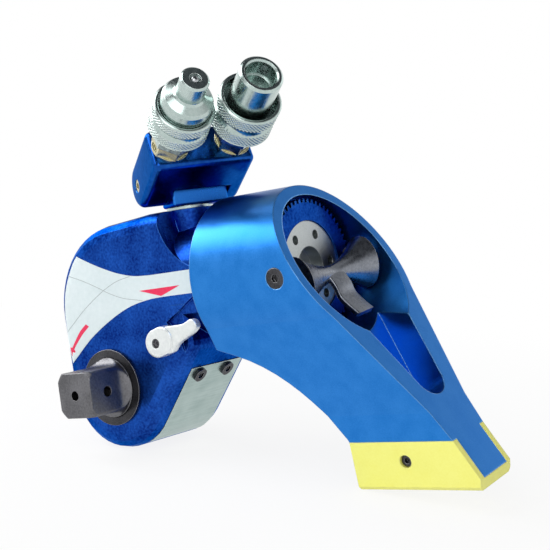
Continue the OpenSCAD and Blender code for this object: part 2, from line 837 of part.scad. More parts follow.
module pivot_plugs() {
  color(passivate) standing() in_block() for (s = [-1, 1]) difference() {
    translate([0, s * (block_len / 2 - 3), 0]) rotate([s * -90, 0, 0]) cylinder(r = 3.8, h = 2.6);
    translate([0, s * (block_len / 2 - 1.8), 0]) rotate([s * -90, 0, 0]) cylinder(r = 1.8, h = 4, $fn = 6);
  }
}

module at_coupler(s) {
  standing() in_block() translate([0, s * half_pitch, 0]) children();
}

// hexagon adapter screwed into the block, with a sealing shoulder
module adapter(s) {
  color(passivate) at_coupler(s) difference() {
    union() {
      translate([0, 0, bridge_z + 10]) cylinder(r = 6.5, h = block_top - bridge_z);
      translate([0, 0, block_top]) cylinder(r = 10.2, h = 2);
      translate([0, 0, block_top + 1.5]) cylinder(r = 10.6, h = hex_h - 1.5, $fn = 6);
    }
    translate([0, 0, bridge_z]) cylinder(r = 3, h = 60);
  }
}

module male_adapter() {
  adapter(-1);
}

module female_adapter() {
  adapter(1);
}

// plug half of the hose coupling, with a stepped nose
module male_coupler() {
  color(zinc) at_coupler(-1) difference() {
    union() {
      translate([0, 0, base_z]) cylinder(r = 12.4, h = 7, $fn = 6);
      rotate_extrude() polygon([[0, base_z], [10.8, base_z], [10.8, base_z + 6], [13.2, base_z + 8],
        [13.2, end_z - 22], [13.6, end_z - 21], [13.6, end_z - 17], [12.6, end_z - 15.2],
        [nose_r + 1, end_z - 13], [nose_r, end_z - 12], [nose_r, end_z - 1], [nose_r - 1, end_z],
        [0, end_z]]);
    }
    translate([0, 0, base_z + 4]) cylinder(r = 3 + run_gap, h = 60);
    translate([0, 0, base_z - 1]) cylinder(r = 2, h = 60);
  }
}

// grip ring with two bands and a groove, and a well of the given depth round its upper bore
module knurled_ring(ro, ri, h, well) {
  rotate_extrude() polygon([[ri, 0], [ro - 1.2, 0], [ro, 1.2], [ro, h * 0.38], [ro - 1.4, h * 0.44],
    [ro - 1.4, h * 0.58], [ro, h * 0.64], [ro, h - 1.2], [ro - 1.2, h], [ro - 2.2, h], [ro - 2.2, h - well],
    [ri, h - well]]);
}

module male_collar() {
  color(zinc) at_coupler(-1) translate([0, 0, base_z + 9.4]) knurled_ring(16.4, 13.2 + 0.3, 18, 1);
}

module male_poppet() {
  color(steel) at_coupler(-1) union() {
    translate([0, 0, base_z + 16]) cylinder(r = 3, h = end_z - base_z - 17.5);
    translate([0, 0, end_z - 2.2]) sphere(r = 2.6);
  }
}

// socket half of the hose coupling, with a deep mouth
module female_coupler() {
  color(zinc) at_coupler(1) difference() {
    union() {
      translate([0, 0, base_z]) cylinder(r = 12.4, h = 7, $fn = 6);
      rotate_extrude() polygon([[0, base_z], [10.8, base_z], [10.8, base_z + 6], [11.8, base_z + 8],
        [11.8, end_z - 1.2], [10.6, end_z], [mouth_bore_r + 0.9, end_z], [mouth_bore_r, end_z - 1],
        [mouth_bore_r, end_z - 11], [mouth_bore_r - 0.9, end_z - 11],
        [mouth_bore_r - 0.9, end_z - 19], [0, end_z - 19]]);
    }
    translate([0, 0, base_z + 6]) cylinder(r = 3 + run_gap, h = 60);
    translate([0, 0, base_z - 1]) cylinder(r = 2, h = 60);
  }
}

module female_collar() {
  color(zinc) at_coupler(1) translate([0, 0, base_z + 8.6]) knurled_ring(17, 11.8 + 0.3, 22, 11);
}

module female_poppet() {
  color(steel) at_coupler(1) union() {
    translate([0, 0, base_z + 14]) cylinder(r = 3, h = end_z - 19 - base_z - 14 + 4);
    translate([0, 0, end_z - 15]) sphere(r = 2.6);
  }
}

housing();
front_bush();
rear_bush();
case_cover();
cover_screws();
end_cap();
cap_seal();
rod_bush();
rod_seal();
ratchet_wheel();
square_drive();
drive_retainer();
retainer_spring();
retainer_button();
piston();
piston_seal();
piston_rod();
rod_head();
lever_plate_front();
lever_plate_rear();
lever_pin();
pawl_pin();
drive_pawl();
pawl_shaft();
holding_pawl();
release_lever();
lever_screw();
reaction_arm();
foot_guard();
guard_screws();
trigger_pin();
arm_trigger();
trigger_spring();
swivel_post();
post_seal_upper();
post_seal_lower();
post_ring();
swivel_lug();
swivel_block();
pivot_shaft();
pivot_plugs();
male_adapter();
female_adapter();
male_coupler();
male_collar();
male_poppet();
female_coupler();
female_collar();
female_poppet();
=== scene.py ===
import json
import math
import bmesh
import bpy
from mathutils import Matrix, Vector


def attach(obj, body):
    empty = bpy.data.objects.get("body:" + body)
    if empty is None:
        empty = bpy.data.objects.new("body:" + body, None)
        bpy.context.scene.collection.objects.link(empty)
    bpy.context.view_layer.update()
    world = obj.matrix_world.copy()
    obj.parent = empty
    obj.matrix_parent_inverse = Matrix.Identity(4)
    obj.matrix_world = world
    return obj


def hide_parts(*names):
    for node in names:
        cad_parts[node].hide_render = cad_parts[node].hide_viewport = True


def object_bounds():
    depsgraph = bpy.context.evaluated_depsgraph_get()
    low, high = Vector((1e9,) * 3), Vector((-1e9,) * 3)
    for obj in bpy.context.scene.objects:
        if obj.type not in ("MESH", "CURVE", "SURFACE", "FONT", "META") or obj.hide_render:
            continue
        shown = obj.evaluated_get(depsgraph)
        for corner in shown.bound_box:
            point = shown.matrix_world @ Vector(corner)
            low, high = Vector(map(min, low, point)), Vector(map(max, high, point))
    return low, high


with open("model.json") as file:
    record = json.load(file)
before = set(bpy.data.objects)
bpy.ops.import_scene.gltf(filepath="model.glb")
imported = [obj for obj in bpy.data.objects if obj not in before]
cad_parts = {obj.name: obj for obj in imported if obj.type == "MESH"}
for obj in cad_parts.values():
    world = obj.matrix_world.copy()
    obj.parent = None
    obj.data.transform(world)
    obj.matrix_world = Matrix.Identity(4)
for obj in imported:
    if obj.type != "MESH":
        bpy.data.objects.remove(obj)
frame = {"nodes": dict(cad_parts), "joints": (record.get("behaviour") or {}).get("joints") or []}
cad_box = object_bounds()
scene = bpy.context.scene
scene.view_settings.view_transform = "Standard"

# Studio. A matt white floor under the tool and a white room, with a broad soft lamp high on the
# left, a smaller one lower beside it, a fill on the right and a rim lamp behind. Overhead the
# room falls to grey, which gives the metal its light and dark bands.


def linear(code):
    """sRGB hex code to linear colour with alpha."""
    parts = [int(code[i:i + 2], 16) / 255 for i in (0, 2, 4)]
    return [c / 12.92 if c <= 0.04045 else ((c + 0.055) / 1.055) ** 2.4 for c in parts] + [1.0]


def put(tree, kind, settings=None, inputs=None):
    """Adds one shader node; inputs maps a socket to a value or to another node's output socket."""
    made = tree.nodes.new(kind)
    for key, value in (settings or {}).items():
        setattr(made, key, value)
    for socket, value in (inputs or {}).items():
        if isinstance(value, bpy.types.NodeSocket):
            tree.links.new(value, made.inputs[socket])
        else:
            made.inputs[socket].default_value = value
    return made


floor_z = cad_box[0].z
floor_half = 4.0
floor_mesh = bpy.data.meshes.new("studio_floor")
floor_mesh.from_pydata([(x * floor_half, y * floor_half, floor_z)
                        for x, y in ((-1, -1), (1, -1), (1, 1), (-1, 1))], [], [(0, 1, 2, 3)])
studio_floor = bpy.data.objects.new("studio_floor", floor_mesh)
scene.collection.objects.link(studio_floor)

# The floor is plain white to the eye and in reflections; near the tool a matt share under the
# white keeps its soft shadow, and it fades out before the horizon.
shadow_white = 0.86
shadow_near = 0.1
shadow_far = 0.55
floor_paint = bpy.data.materials.new("matt_white_floor_paint")
floor_paint.use_nodes = True
floor_tree = floor_paint.node_tree
floor_shader = floor_tree.nodes["Principled BSDF"]
floor_shader.inputs["Base Color"].default_value = linear("F4F4F4")
floor_shader.inputs["Roughness"].default_value = 0.9
floor_ray = put(floor_tree, "ShaderNodeLightPath")
floor_seen = put(floor_tree, "ShaderNodeMath", {"operation": "MAXIMUM"},
                 {0: floor_ray.outputs["Is Camera Ray"], 1: floor_ray.outputs["Is Glossy Ray"]})
floor_shown = put(floor_tree, "ShaderNodeMath", {"operation": "MAXIMUM"},
                  {0: floor_seen.outputs["Value"], 1: floor_ray.outputs["Is Transmission Ray"]})
floor_spot = put(floor_tree, "ShaderNodeNewGeometry")
floor_reach = put(floor_tree, "ShaderNodeVectorMath", {"operation": "LENGTH"},
                  {0: floor_spot.outputs["Position"]})
floor_near = put(floor_tree, "ShaderNodeMapRange", {"interpolation_type": "SMOOTHSTEP"},
                 {"Value": floor_reach.outputs["Value"], "From Min": shadow_near,
                  "From Max": shadow_far, "To Min": shadow_white, "To Max": 1.0})
floor_share = put(floor_tree, "ShaderNodeMath", {"operation": "MULTIPLY"},
                  {0: floor_shown.outputs["Value"], 1: floor_near.outputs["Result"]})
floor_white = put(floor_tree, "ShaderNodeEmission", {}, {"Color": linear("FFFFFF"), "Strength": 1.0})
floor_mix = put(floor_tree, "ShaderNodeMixShader", {},
                {0: floor_share.outputs["Value"], 1: floor_shader.outputs["BSDF"],
                 2: floor_white.outputs["Emission"]})
floor_tree.links.new(floor_mix.outputs["Shader"], floor_tree.nodes["Material Output"].inputs["Surface"])
floor_mesh.materials.append(floor_paint)

# Heights on the room's unit sphere where the white ends and the grey begins.
room_white_to = 0.14
room_grey_from = 0.62
room = bpy.data.worlds.new("studio_room")
scene.world = room
room.use_nodes = True
room_tree = room.node_tree
room_way = put(room_tree, "ShaderNodeTexCoord")
room_parts = put(room_tree, "ShaderNodeSeparateXYZ", {}, {"Vector": room_way.outputs["Generated"]})
room_rise = put(room_tree, "ShaderNodeMapRange", {"interpolation_type": "SMOOTHSTEP"},
                {"Value": room_parts.outputs["Z"], "From Min": room_white_to, "From Max": room_grey_from})
room_shade = put(room_tree, "ShaderNodeMix", {"data_type": "RGBA"},
                 {0: room_rise.outputs["Result"], 6: linear("FFFFFF"), 7: linear("4A4C50")})
room_tree.links.new(room_shade.outputs[2], room_tree.nodes["Background"].inputs["Color"])
room_tree.nodes["Background"].inputs["Strength"].default_value = 1.0

middle = (cad_box[0] + cad_box[1]) / 2


def lamp(name, away, size, watts):
    """Square area lamp, away metres from the tool's middle and turned to it."""
    data = bpy.data.lights.new(name, "AREA")
    data.size = size
    data.energy = watts
    thing = bpy.data.objects.new(name, data)
    scene.collection.objects.link(thing)
    thing.location = middle + Vector(away)
    thing.rotation_mode = "QUATERNION"
    thing.rotation_quaternion = (-Vector(away)).to_track_quat("-Z", "Y")


lamp("key_lamp", (-0.75, -0.55, 0.95), 1.0, 10.6)
lamp("side_lamp", (-0.82, -0.06, 0.42), 0.5, 3.6)
lamp("fill_lamp", (0.46, -0.94, 0.68), 0.8, 4.6)
lamp("rim_lamp", (0.3, 1.1, 0.8), 1.2, 2.3)

# Camera. It looks at the tool from the front right, a little above, with a long lens.
camera_aim = Vector((0.0689, 0.0621, 0.0655))
camera_azimuth = math.radians(36.74)
camera_elevation = math.radians(7.43)
camera_roll = math.radians(0.88)
camera_distance = 0.7
camera_back = Vector((math.sin(camera_azimuth) * math.cos(camera_elevation),
                      -math.cos(camera_azimuth) * math.cos(camera_elevation),
                      math.sin(camera_elevation)))
camera_data = bpy.data.cameras.new("camera")
camera_data.sensor_width = 36.0
camera_data.lens = 79.5
camera = bpy.data.objects.new("camera", camera_data)
scene.collection.objects.link(camera)
camera.location = camera_aim + camera_back * camera_distance
camera.rotation_mode = "QUATERNION"
camera.rotation_quaternion = ((-camera_back).to_track_quat("-Z", "Y")
                              @ Matrix.Rotation(camera_roll, 3, "Z").to_quaternion())
scene.camera = camera

# Housing. One aluminium block, milled and bead blasted, then anodised deep blue. It carries the
# ratchet, the cylinder and the swivel.


def finish(name, dark, light, metallic, rough, patch_mm, relief_mm, ease_mm, edge_highlight_and_wear, stretch=(1, 1, 1),
           glance="FFFFFF"):
    """Material that varies between two colours and two roughnesses in patches of patch_mm.

    Its relief is relief_mm high, its edges are eased by ease_mm and take the edge colour, which paints
    a highlight along the rounded edges and on worn metal also stands for rubbed wear; glance is the
    tint of its shine at a low angle.
    """
    cloud_mm = 14 * patch_mm
    noise_low, noise_high = 0.74, 1.26
    edge_from, edge_to = 0.985, 0.8
    relief_strength = 0.35
    made = bpy.data.materials.new(name)
    made.use_nodes = True
    tree = made.node_tree
    shader = tree.nodes["Principled BSDF"]
    shader.inputs["Metallic"].default_value = metallic
    shader.inputs["Specular Tint"].default_value = linear(glance)
    place = put(tree, "ShaderNodeTexCoord")
    spread = put(tree, "ShaderNodeMapping", {}, {"Vector": place.outputs["Object"], "Scale": stretch})
    grain = put(tree, "ShaderNodeTexNoise", {}, {"Vector": spread.outputs["Vector"],
                                                 "Scale": 1000 / patch_mm, "Detail": 4.0})
    cloud = put(tree, "ShaderNodeTexNoise", {}, {"Vector": place.outputs["Object"],
                                                 "Scale": 1000 / cloud_mm, "Detail": 2.0})
    both = put(tree, "ShaderNodeMath", {"operation": "ADD"},
               {0: grain.outputs["Fac"], 1: cloud.outputs["Fac"]})
    level = put(tree, "ShaderNodeMapRange", {}, {"Value": both.outputs["Value"], "From Min": noise_low,
                                                 "From Max": noise_high})
    colour = put(tree, "ShaderNodeMix", {"data_type": "RGBA"},
                 {0: level.outputs["Result"], 6: linear(dark), 7: linear(light)})
    eased = put(tree, "ShaderNodeBevel", {"samples": 6}, {"Radius": ease_mm / 1000})
    flat = put(tree, "ShaderNodeNewGeometry")
    turn = put(tree, "ShaderNodeVectorMath", {"operation": "DOT_PRODUCT"},
               {0: eased.outputs["Normal"], 1: flat.outputs["Normal"]})
    # Where the eased normal turns from the flat one, on rounded edges, the colour goes to the edge colour: a
    # painted highlight, on worn metal partly rubbed wear too.
    edge_highlight_and_wear_mask = put(tree, "ShaderNodeMapRange", {}, {"Value": turn.outputs["Value"], "From Min": edge_from,
                                                "From Max": edge_to})
    edge_highlight_and_wear_mix = put(tree, "ShaderNodeMix", {"data_type": "RGBA"},
                 {0: edge_highlight_and_wear_mask.outputs["Result"], 6: colour.outputs[2], 7: linear(edge_highlight_and_wear)})
    tree.links.new(edge_highlight_and_wear_mix.outputs[2], shader.inputs["Base Color"])
    gloss = put(tree, "ShaderNodeMapRange", {}, {"Value": level.outputs["Result"], "To Min": rough[0],
                                                 "To Max": rough[1]})
    tree.links.new(gloss.outputs["Result"], shader.inputs["Roughness"])
    relief = put(tree, "ShaderNodeBump", {}, {"Height": grain.outputs["Fac"], "Strength": relief_strength,
                                              "Distance": relief_mm / 1000,
                                              "Normal": eased.outputs["Normal"]})
    tree.links.new(relief.outputs["Normal"], shader.inputs["Normal"])
    return made


def dress(made, *names):
    """Gives CAD nodes one material."""
    for name in names:
        slots = frame["nodes"][name].data.materials
        slots.clear()
        slots.append(made)


# Blasting leaves a fine mottle in the dyed oxide; the lighter blue on the rounded corners is a
# painted highlight. The real pits are under 0.1 mm, so the mottle is drawn coarser to show.
housing_blue = finish("blasted_blue_anodised_aluminium", "0A2676", "2257B8", 1.0, (0.28, 0.4), 1.5, 0.02,
                      0.7, "3F78CC", glance="A8C8F2")
dress(housing_blue, "housing")

# The tool's own axes, in millimetres: along the cylinder, through the housing, up.
slide_axis = next(j["axis"] for j in frame["joints"] if j["name"] == "arm_slide")
tool = Matrix(((slide_axis[0], 0, -slide_axis[2], 0), (0, 1, 0, 0), (slide_axis[2], 0, slide_axis[0], 0),
               (0, 0, 0, 1))) @ Matrix.Scale(0.001, 4)


def smooth(mesh, crease=30):
    """Smooth shading, broken where faces meet at more than crease degrees."""
    mesh.shade_smooth()
    mesh.set_sharp_from_angle(angle=math.radians(crease))


def shown(name, mesh, made, body, crease=30):
    """Links a mesh as a smooth piece that rides on a body."""
    mesh.materials.append(made)
    smooth(mesh, crease)
    piece = bpy.data.objects.new(name, mesh)
    scene.collection.objects.link(piece)
    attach(piece, body)
    return piece


def weld(mesh):
    """Joins points that coincide and turns the faces of a closed mesh outward."""
    work = bmesh.new()
    work.from_mesh(mesh)
    bmesh.ops.remove_doubles(work, verts=work.verts, dist=1e-7)
    bmesh.ops.recalc_face_normals(work, faces=work.faces)
    work.to_mesh(mesh)
    work.free()
    return mesh


def skin(rings, place, capped=True):
    """Closed mesh through rings of equally many points, given in millimetres in a place."""
    count = len(rings[0])
    last = (len(rings) - 1) * count
    faces = []
    for low in range(0, last, count):
        for k in range(count):
            n = (k + 1) % count
            faces.append((low + k, low + n, low + count + n, low + count + k))
    if capped:
        faces += [tuple(range(count)), tuple(range(last, last + count))]
    mesh = bpy.data.meshes.new("skin")
    mesh.from_pydata([place @ Vector(p) for ring in rings for p in ring], [], faces)
    return weld(mesh)


def carve(piece, mesh, operation="DIFFERENCE"):
    """Takes a closed mesh out of a piece, or joins it on with UNION."""
    cutter = bpy.data.objects.new("cutter", mesh)
    scene.collection.objects.link(cutter)
    step = piece.modifiers.new("cut", "BOOLEAN")
    step.object = cutter
    step.operation = operation
    step.solver = "EXACT"
    bpy.context.view_layer.update()
    done = bpy.data.meshes.new_from_object(piece.evaluated_get(bpy.context.evaluated_depsgraph_get()))
    piece.modifiers.clear()
    piece.data = done
    smooth(done)
    bpy.data.objects.remove(cutter)


def circle(radius, degrees):
    """Points on a circle at the given angles, as pairs."""
    return [(radius * math.cos(math.radians(a)), radius * math.sin(math.radians(a))) for a in degrees]


def rod(start, end, radius, place, sides=48):
    """Closed round bar between two points in millimetres, to cut or join with."""
    start, end = Vector(start), Vector(end)
    way = (end - start).to_track_quat("Z", "Y")
    around = [way @ Vector((x, y, 0)) for x, y in circle(radius, [360 * k / sides for k in range(sides)])]
    return skin([[start + p for p in around], [end + p for p in around]], place)


def box(x, y, z, place):
    """Closed box between pairs of X, Y and Z in millimetres, to cut with."""
    return skin([[(a, y[0], z[0]), (a, y[1], z[0]), (a, y[1], z[1]), (a, y[0], z[1])] for a in x], place)


# The crown over the cylinder runs on to the scoop in front of the swivel, its top edges rounded
# like those of the face. It rises out of the block over a length, so that no seam shows.
housing_width = 60.0
crown_foot = 57.0
crown_front = 9.0
crown_rear = 5.0
crown_turns = [math.radians(a) for a in range(0, 91, 9)]
crown_stations = ((22.0, 93.5, -0.3), (40.0, 95.03, 0.03), (79.0, 95.03, 0.03))
crown_rings = []
for x, top, proud in crown_stations:
    ring = [(x, -proud, crown_foot)]
    ring += [(x, crown_front * (1 - math.cos(t)) - proud, top - crown_front * (1 - math.sin(t)))
             for t in crown_turns]
    ring += [(x, housing_width + proud - crown_rear * (1 - math.sin(t)), top - crown_rear * (1 - math.cos(t)))
             for t in crown_turns]
    ring += [(x, housing_width + proud, crown_foot)]
    crown_rings.append(ring)
housing_crown = shown("housing_crown", skin(crown_rings, tool), housing_blue, "housing")
scoop_x, scoop_z, scoop_r = 85.0, 95.0, 34.95
carve(housing_crown, rod((scoop_x, -5, scoop_z), (scoop_x, housing_width + 5, scoop_z), scoop_r, tool, 180))
post_x, post_y, post_r = 50.3, housing_width / 2, 13.9
carve(housing_crown, rod((post_x, post_y, crown_foot - 5), (post_x, post_y, 100), post_r, tool, 96))
# It is only a skin where the cylinder and the ratchet chamber lie behind it.
crown_wall = 4.0
crown_under = 86.0
carve(housing_crown, box((10, 90), (crown_wall, housing_width - crown_wall), (50, crown_under), tool))

# Face label. A thin printed sheet stuck on the front face, which bends over the rounded edge on
# the left and ends under the sleeve. It carries a drive arrow and a pointer to the lever.

# The face is the hull of these discs (x, z, radius), rounded at its edge; on the shoulder it runs
# straight on under the sleeve.
face_rounding = 9.0
face_discs = ((0.0, 0.0, 36.5), (11.5, 43.8, 49.0), (40.0, 81.0, 14.0), (53.4, 22.4, 10.0))
shoulder_x = 40
shoulder_z = (43, 78)


def face_depth(x, z):
    """How far the front surface lies back at a place, from the rounding of its edge."""
    if x > shoulder_x and shoulder_z[0] < z < shoulder_z[1]:
        return 0.0
    beyond = 0.0
    for right, up in circle(1, range(0, 360, 2)):
        reach = max(c[0] * right + c[1] * up + c[2] - face_rounding for c in face_discs)
        beyond = max(beyond, x * right + z * up - reach)
    return face_rounding - math.sqrt(max(0.0, face_rounding ** 2 - beyond ** 2))


def run(points, count):
    """Smooth curve through points, with count steps of about even length."""
    pieces = 24
    ends = [points[0]] + list(points) + [points[-1]]
    fine = []
    for k in range(len(points) - 1):
        a, b, c, d = (Vector(p) for p in ends[k:k + 4])
        for s in range(pieces):
            t = s / pieces
            fine.append(0.5 * (2 * b + (c - a) * t + (2 * a - 5 * b + 4 * c - d) * t * t
                               + (3 * b - a - 3 * c + d) * t ** 3))
    fine.append(Vector(points[-1]))
    lengths = [0.0]
    for p, q in zip(fine, fine[1:]):
        lengths.append(lengths[-1] + (q - p).length)
    out = []
    k = 0
    for s in range(count + 1):
        goal = lengths[-1] * s / count
        while k < len(fine) - 2 and lengths[k + 1] < goal:
            k += 1
        span = max(lengths[k + 1] - lengths[k], 1e-9)
        out.append(fine[k].lerp(fine[k + 1], min(1.0, (goal - lengths[k]) / span)))
    return out


def beside(curve, half):
    """Two edges along a curve, half to each side of it."""
    sides = []
    for before, after in zip(curve[:1] + curve[:-1], curve[1:] + curve[-1:]):
        along = (after - before).normalized()
        sides.append(Vector((-along.y, along.x)) * half)
    return [p + s for p, s in zip(curve, sides)], [p - s for p, s in zip(curve, sides)]


def face_sheet(name, left, right, across, lift, made):
    """Sheet between two edges on the front face, its front lift above the surface."""
    thick = 0.12
    points = []
    for p, q in zip(left, right):
        for k in range(across + 1):
            spot = Vector(p).lerp(Vector(q), k / across)
            points.append((spot.x, face_depth(spot.x, spot.y), spot.y))
    row = across + 1
    last = (len(left) - 1) * row
    size = len(points)
    corners = [tool @ Vector((x, y - lift, z)) for x, y, z in points]
    corners += [tool @ Vector((x, y - lift + thick, z)) for x, y, z in points]
    faces = []
    for low in range(0, last, row):
        for a in range(low, low + across):
            faces.append((a, a + 1, a + row + 1, a + row))
            faces.append((size + a, size + a + row, size + a + row + 1, size + a + 1))
    rim = (list(range(row)) + list(range(row + across, last + row, row))
           + list(range(last + across - 1, last - 1, -1)) + list(range(last - row, 0, -row)))
    for a, b in zip(rim, rim[1:] + rim[:1]):
        faces.append((b, a, size + a, size + b))
    mesh = bpy.data.meshes.new(name)
    mesh.from_pydata(corners, [], faces)
    return shown(name, weld(mesh), made, "housing")


# Satin printed film: an even pale grey with a faint unevenness of the ink and a soft sheen.
# Its lighter edge colour is a painted highlight.
label_film = finish("printed_satin_film", "CFDCDE", "D9E4E6", 0.0, (0.34, 0.44), 3.0, 0.004, 0.1, "E4ECED")
label_upper = run([(-30.3, 15.4), (-31.6, 24.5), (-31.9, 33.3), (-31.2, 46.6), (-27.8, 59.6), (-20.0, 72.8),
                   (-15.4, 77.6)], 40)
label_upper += run([(-15.4, 77.6), (-7.0, 73.6), (3.6, 69.0), (15.0, 64.9), (27.1, 62.0), (38.5, 61.2),
                    (50.3, 61.2), (72.0, 61.4)], 60)[1:]
label_lower = run([(-30.3, 15.4), (-25.5, 19.1), (-13.1, 28.3), (-3.0, 34.2)], 40)
label_lower += run([(-3.0, 34.2), (4.0, 37.7), (13.6, 41.9), (23.9, 45.3), (36.0, 47.5), (47.9, 48.3),
                    (71.0, 48.6)], 60)[1:]
face_sheet("face_label", label_upper, label_lower, 12, 0.22, label_film)

# Red screen print on the film, matt beside it.
# Its paler edge colour is a painted highlight.
label_red = finish("red_screen_print", "DC1148", "EA1D55", 0.0, (0.45, 0.55), 1.5, 0.003, 0.1, "E8305F")
arrow_left = run([(-14.9, 37.7), (-20.6, 33.7), (-25.6, 28.4), (-28.6, 24.9)], 24)
arrow_right = run([(-12.6, 36.2), (-18.6, 32.0), (-24.2, 27.0), (-27.4, 23.8)], 24)
face_sheet("label_arrow", arrow_left + [(-30.9, 25.0), (-30.3, 20.0)],
           arrow_right + [(-26.6, 22.2), (-30.2, 19.9)], 4, 0.28, label_red)
face_sheet("label_pointer", run([(31.0, 53.2), (39.0, 51.1), (47.0, 48.95)], 10),
           run([(61.8, 53.6), (54.5, 51.2), (47.4, 48.95)], 10), 8, 0.28, label_red)

# Fine grey print lines that cross the film, matt like the red.
label_grey = finish("grey_screen_print", "8E9A9C", "9CA7A9", 0.0, (0.45, 0.55), 1.5, 0.003, 0.1, "9CA7A9")
line_half = 0.14
line_upper = run([(-24.6, 67.0), (-14.0, 63.4), (-2.2, 58.4), (8.0, 53.6), (18.7, 50.0), (32.8, 47.6)], 40)
line_lower = run([(-31.3, 34.2), (-24.0, 39.4), (-15.6, 45.4), (-5.0, 51.6), (5.0, 56.6), (15.0, 60.2),
                  (25.4, 61.9)], 40)
face_sheet("label_line_upper", *beside(line_upper, line_half), 2, 0.26, label_grey)
face_sheet("label_line_lower", *beside(line_lower, line_half), 2, 0.26, label_grey)

# Square drive. Forged alloy steel, milled square, turned at the corners and phosphated dark. The
# flats run out in a round sweep where the square meets its collar; a splined shank drives it.
drive_half = 12.7
drive_end = -30.0
drive_foot = -2.0
drive_sweep = 7.0
drive_collar = 17.25
drive_collar_from = -2.6
corner_r = drive_half * 1.335
nose_r = drive_half * 1.16
nose_slope = 0.9
end_ease = 0.35
end_ease_long = 0.6
drive_stations = [drive_end + s for s in (0.0, 0.25, 0.6, 1.0, 1.5, 2.0, 2.6, 4.0, 8.0, 13.0)]
drive_stations += [drive_foot - drive_sweep * (1 - math.sin(math.radians(a))) for a in range(0, 91, 9)]
drive_stations += [-1.4, 1.9]
drive_rings = []
for y in drive_stations:
    sweep = min(drive_sweep, max(0.0, y - drive_foot + drive_sweep))
    half = drive_half + drive_sweep - math.sqrt(drive_sweep ** 2 - sweep ** 2)
    turned_r = min(corner_r if y < drive_collar_from else drive_collar, nose_r + (y - drive_end) * nose_slope)
    ease = end_ease * max(0.0, 1 - (y - drive_end) / end_ease_long) ** 2
    ring = []
    for right, up in circle(1, range(360)):
        r = min((half - ease) / max(abs(right), abs(up)), turned_r - ease)
        ring.append((r * right, y, r * up))
    drive_rings.append(ring)
shank_r = 13.0
shank_tooth = 1.6
shank_pitch = 30
for y in (2.0, 58.0):
    ring = []
    for k, (right, up) in enumerate(circle(1, range(360))):
        r = shank_r + (shank_tooth if k % shank_pitch < shank_pitch / 2 else 0.0)
        ring.append((r * right, y, r * up))
    drive_rings.append(ring)

# Phosphated steel is dark and dull with a fine speckle; the edges are a lighter grey, partly worn to bare steel
# and partly a painted highlight.
drive_steel = finish("dark_phosphated_alloy_steel", "5E5E61", "7D7D81", 1.0, (0.32, 0.46), 1.2, 0.01, 0.5,
                     "8A898C")
square_drive = shown("square_drive_forging", skin(drive_rings, tool), drive_steel, "drive")
# A centre hole in the end, a cross hole for the socket's pin and the bore of the push button.
centre_hole_r = 2.8
cross_hole_r = 3.0
cross_hole_y = -17.0
button_bore_r = 5.35
carve(square_drive, rod((0, drive_end - 2, 0), (0, drive_end + 14, 0), centre_hole_r, tool))
carve(square_drive, rod((-25, cross_hole_y, 0), (25, cross_hole_y, 0), cross_hole_r, tool))
carve(square_drive, rod((0, 48, 0), (0, 62, 0), button_bore_r, tool))
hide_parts("square_drive")

# Bushes, ratchet and pawls. Hardened steel rings pressed into the housing carry the ratchet; its
# plates, pawls and end plate are cut from the same steel, and the small screws are alike.

# Oil blackening is a thin satin black; the edges show grey, partly rubbed through and partly a painted highlight.
black_steel = finish("oil_blackened_steel", "363639", "525256", 1.0, (0.28, 0.42), 0.8, 0.006, 0.6, "8E8E92")
dress(black_steel, "front_bush", "rear_bush", "drive_retainer", "cover_screws", "lever_screw", "guard_screws",
      "trigger_pin")
dress(drive_steel, "ratchet_wheel", "lever_plate_front", "lever_plate_rear", "drive_pawl", "holding_pawl")

# Ground pins, springs and the push button. Hardened steel, ground to size; bright, with the fine
# marks of the grinding wheel.
# Its lighter edge colour is a painted highlight.
ground_steel = finish("ground_bright_steel", "A9ACAE", "C1C4C6", 1.0, (0.18, 0.3), 0.8, 0.004, 0.3, "D2D5D7")
dress(ground_steel, "retainer_spring", "retainer_button", "lever_pin", "pawl_pin", "pawl_shaft")

# Release lever. A small casting on the end of the holding pawl's shaft, nickel plated to a pale
# satin; its paddle flares to the tip so that a thumb can push it.


def plate(outline, front, back, rounding, place):
    """Flat plate of an X-Z outline between two depths, with its front and back edges rounded."""
    ring = [Vector(p) for p in outline]
    mesh = skin([[(p.x, front, p.y) for p in ring], [(p.x, back, p.y) for p in ring]], Matrix.Identity(4))
    work = bmesh.new()
    work.from_mesh(mesh)
    rims = [e for e in work.edges if abs(e.verts[0].co.y - e.verts[1].co.y) < 1e-6]
    bmesh.ops.bevel(work, geom=rims, offset=rounding, segments=4, profile=0.5, affect="EDGES")
    work.to_mesh(mesh)
    work.free()
    mesh.transform(place)
    return mesh


lever_x = 46.0
lever_z = 23.5
boss_r = 7.9
boss_run = (4.0, 1.2)
lever_boss = [(lever_x + x, lever_z + z) for x, z in circle(boss_r, range(107, 287, 5))]
lever_boss += [(lever_x + boss_run[0] + x, lever_z + boss_run[1] + z)
               for x, z in circle(boss_r, range(-73, 107, 5))]
lever_paddle = run([(4.0, 8.6), (11.5, 8.9), (15.7, 9.0), (20.0, 9.4), (22.8, 10.4), (25.6, 11.5), (28.2, 10.9),
                    (29.9, 8.6), (29.1, 6.2), (26.1, 3.8), (21.2, 1.6), (15.9, -0.9), (13.2, -2.9),
                    (10.4, -5.6), (6.5, -6.4)], 80)
lever_screw_r = 2.75

